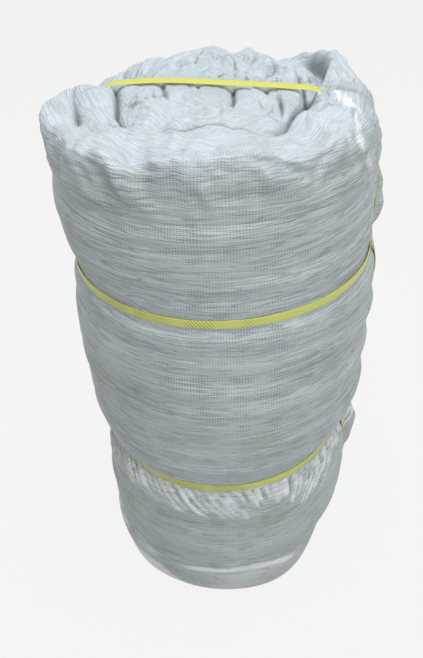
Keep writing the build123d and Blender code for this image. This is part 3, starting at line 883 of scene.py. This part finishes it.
# painted light: the top painted paler and bluer, as where the sky lights it
ground = node("MixRGB", maths("MULTIPLY", topMarkNode, 0.8), ground, quiltLook["top"]).outputs[0]
ground = node("MixRGB", maths("MULTIPLY", gleam, 0.55), ground, quiltLook["paintedHighlight"]).outputs[0]
# painted shade along the crinkle valleys, over the weave's own dark dots and dashes
shade = maths("ADD", maths("MULTIPLY", crinkleMark, 0.22), maths("MULTIPLY", dots, 0.35))
shade = maths("ADD", shade, maths("MULTIPLY", pitted, 0.95), use_clamp=True)
shade = maths("MULTIPLY", shade, maths("SUBTRACT", 1.0, maths("MULTIPLY", topMarkNode, 0.6)))
# painted shade along the creases, the pleat valleys and the ear's inner wall
shade = maths("MAXIMUM", shade, maths("MULTIPLY", creaseMark, 0.9), use_clamp=True)
# painted highlight: the colour goes towards near white and the painted shade is lifted there
ground = node("MixRGB", paintedHighlightMark, ground, quiltLook["paintedHighlight"]).outputs[0]
shade = maths("MULTIPLY", shade, maths("SUBTRACT", 1.0, maths("MULTIPLY", paintedHighlightMark, 0.7)))
colour = node("MixRGB", shade, ground, quiltLook["dark"]).outputs[0]
# painted shade: the foot of a crease is painted darkest
deepShare = maths("MULTIPLY", maths("POWER", creaseMark, 2.0), 0.7, use_clamp=True)
colour = node("MixRGB", deepShare, colour, quiltLook["deep"]).outputs[0]
tree.links.new(colour, shader.inputs["Base Color"])
rough = node("MapRange", clothNoise(30.0, 60.0), 0.3, 0.7, 0.38, 0.55).outputs[0]
# the same mark also makes the cloth a little glossier there, a real change of roughness and specular
tree.links.new(maths("SUBTRACT", rough, maths("MULTIPLY", paintedHighlightMark, 0.15)), shader.inputs["Roughness"])
tree.links.new(maths("MULTIPLY_ADD", paintedHighlightMark, 0.55, 0.45), shader.inputs["Specular IOR Level"])
weave = maths("ADD", maths("ADD", tapeGap, rowGap), maths("MULTIPLY", lines, 3.5))
relief = node("Bump", 0.5, 0.0007)
relief.invert = True
tree.links.new(weave, relief.inputs["Height"])
tree.links.new(relief.outputs[0], shader.inputs["Normal"])
for piece in (upperPiece, middlePiece, lowerPiece):
    piece.data.materials.append(quilt)

strapLook = {
    "base": (0.78, 0.75, 0.11, 1.0), "hoop": (0.84, 0.87, 0.24, 1.0), "deep": (0.56, 0.60, 0.14, 1.0),
    "rib": 0.0056,
}
strap, tree, shader, node = newMaterial("limeStrap", Roughness=0.36)
cloth = node("UVMap", uv_map="cloth").outputs[0]
split = node("SeparateXYZ", cloth)
slant = maths("ADD", split.outputs[0], maths("MULTIPLY", split.outputs[1], 0.8))
ribs = maths("SINE", maths("MULTIPLY", slant, math.tau / strapLook["rib"]))
ribbed = maths(
    "MULTIPLY", node("Attribute", attribute_name="ribbed").outputs["Fac"],
    node("MapRange", clothNoise(14.0, 5.0), 0.4, 0.5, 0.0, 1.0).outputs[0],
)
grain = maths("MULTIPLY", clothNoise(40.0, 900.0), 0.35)
ribHeight = maths("ADD", maths("MULTIPLY", ribs, ribbed), grain)
# painted shade: the strap painted darker where its ribs and grain lie low
fade = node("MapRange", ribHeight, -0.8, 0.6, 0.8, 0.0).outputs[0]
paleHoop = node("Attribute", attribute_name="paleHoop").outputs["Fac"]
# the hoops are painted a paler, greener yellow than the lengthwise strap
plain = node("MixRGB", paleHoop, strapLook["base"], strapLook["hoop"]).outputs[0]
tree.links.new(node("MixRGB", fade, plain, strapLook["deep"]).outputs[0], shader.inputs["Base Color"])
relief = node("Bump", 0.7, 0.0008)
tree.links.new(ribHeight, relief.inputs["Height"])
tree.links.new(relief.outputs[0], shader.inputs["Normal"])
for piece in (strapMiddle, strapLower, strapLength):
    piece.data.materials.append(strap)
print("materials made")


floorMesh = bpy.data.meshes.new("floor")
floorMesh.from_pydata([(-6, -6, 0), (6, -6, 0), (6, 6, 0), (-6, 6, 0)], [], [(0, 1, 2, 3)])
floor = bpy.data.objects.new("floor", floorMesh)
scene.collection.objects.link(floor)
paleFloor, tree, shader, node = newMaterial("paleFloor", Roughness=0.9)
shader.inputs["Base Color"].default_value = (0.50, 0.50, 0.50, 1.0)
glow = node("Emission", (1.0, 1.0, 1.0, 1.0), 1.0)
ray = node("LightPath")
seenRay = maths(
    "ADD", ray.outputs["Is Camera Ray"],
    maths("ADD", ray.outputs["Is Glossy Ray"], ray.outputs["Is Transmission Ray"]),
)
seenShare = maths("MULTIPLY", seenRay, 0.86, use_clamp=True)  # white to the camera, with the shadow kept
both = node("MixShader", seenShare, shader.outputs[0], glow.outputs[0])
tree.links.new(both.outputs[0], tree.nodes["Material Output"].inputs["Surface"])
floorMesh.materials.append(paleFloor)

lightSet = {
    "sky": (0.93, 0.97, 1.0), "skyStrength": 0.30,
    "key": 41.0, "keyColor": (0.93, 0.985, 1.0), "keyPlace": (0.1, -0.1, 3.0), "keySize": 2.4,
    "front": 26.0, "frontPlace": (1.4, -2.6, 1.9), "frontSize": 1.4,
}
world = bpy.data.worlds.new("studio")
scene.world = world
world.use_nodes = True
tree = world.node_tree
back = tree.nodes["Background"]
back.inputs["Color"].default_value = (*lightSet["sky"], 1.0)
back.inputs["Strength"].default_value = lightSet["skyStrength"]
seen = tree.nodes.new("ShaderNodeBackground")
seen.inputs["Color"].default_value = (1, 1, 1, 1)
seen.inputs["Strength"].default_value = 1.0
pick = tree.nodes.new("ShaderNodeMixShader")
ray = tree.nodes.new("ShaderNodeLightPath")
seenRay = ray.outputs["Is Camera Ray"]
for other in ("Is Glossy Ray", "Is Transmission Ray"):
    add = tree.nodes.new("ShaderNodeMath")
    tree.links.new(seenRay, add.inputs[0])
    tree.links.new(ray.outputs[other], add.inputs[1])
    seenRay = add.outputs[0]
tree.links.new(seenRay, pick.inputs[0])
tree.links.new(back.outputs[0], pick.inputs[1])
tree.links.new(seen.outputs[0], pick.inputs[2])
tree.links.new(pick.outputs[0], tree.nodes["World Output"].inputs["Surface"])
keyData = bpy.data.lights.new("key", "AREA")
keyData.energy, keyData.size, keyData.color = lightSet["key"], lightSet["keySize"], lightSet["keyColor"]
key = bpy.data.objects.new("key", keyData)
key.location = lightSet["keyPlace"]
scene.collection.objects.link(key)
frontData = bpy.data.lights.new("front", "AREA")
frontData.energy, frontData.size = lightSet["front"], lightSet["frontSize"]
front = bpy.data.objects.new("front", frontData)
front.location = lightSet["frontPlace"]
front.rotation_euler = (Vector((0.0, 0.0, 0.45)) - front.location).to_track_quat("-Z", "Y").to_euler()
scene.collection.objects.link(front)
print("stage set")
